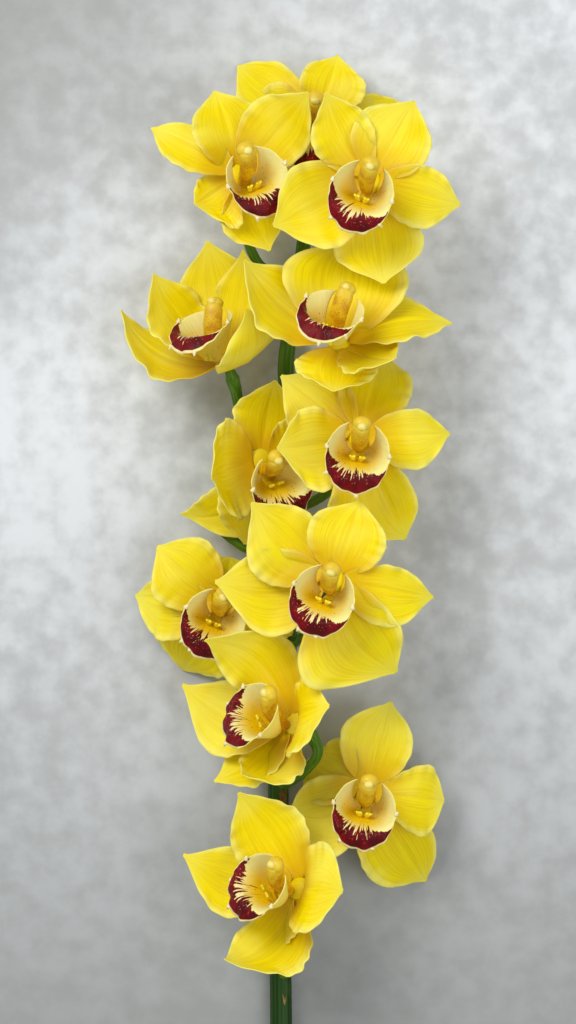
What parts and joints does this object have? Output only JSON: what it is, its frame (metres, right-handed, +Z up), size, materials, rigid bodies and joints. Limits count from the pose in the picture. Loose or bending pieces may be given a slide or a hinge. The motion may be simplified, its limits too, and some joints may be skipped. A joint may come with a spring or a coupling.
{
  "type": "cymbidium orchid stem",
  "caption": "Cut spray of large yellow cymbidium orchid blooms with maroon-edged cream lips on an arching green stem, lying on its side.",
  "frame": {"origin": "middle of the bottom of the bounding box, on the surface that the stem lies on", "axes": "+Y along the spike from its cut foot towards its tip, +Z up, the way most blooms face, +X to the right seen from above"},
  "size_m": [0.1782, 0.6034, 0.11],
  "materials": {
    "stem": "waxy green, satin",
    "tepals": "soft waxy yellow, satin",
    "lip": "cream with a maroon crescent, satin",
    "column": "waxy yellow, satin"
  },
  "bodies": {
    "root": {"stem": "stem", "bloom_a_tepals": "tepals", "bloom_a_lip": "lip", "bloom_a_column": "column", "bloom_b_tepals": "tepals", "bloom_b_lip": "lip", "bloom_b_column": "column", "bloom_c_tepals": "tepals", "bloom_c_lip": "lip", "bloom_c_column": "column", "bloom_d_tepals": "tepals", "bloom_d_lip": "lip", "bloom_d_column": "column", "bloom_e_tepals": "tepals", "bloom_e_lip": "lip", "bloom_e_column": "column", "bloom_f_tepals": "tepals", "bloom_f_lip": "lip", "bloom_f_column": "column", "bloom_g_tepals": "tepals", "bloom_g_lip": "lip", "bloom_g_column": "column", "bloom_h_tepals": "tepals", "bloom_h_lip": "lip", "bloom_h_column": "column", "bloom_i_tepals": "tepals", "bloom_i_lip": "lip", "bloom_i_column": "column", "bloom_j_tepals": "tepals", "bloom_j_lip": "lip", "bloom_j_column": "column", "bloom_k_tepals": "tepals", "bloom_k_lip": "lip", "bloom_k_column": "column", "bloom_l_tepals": "tepals", "bloom_l_lip": "lip", "bloom_l_column": "column"}
  },
  "joints": []
}
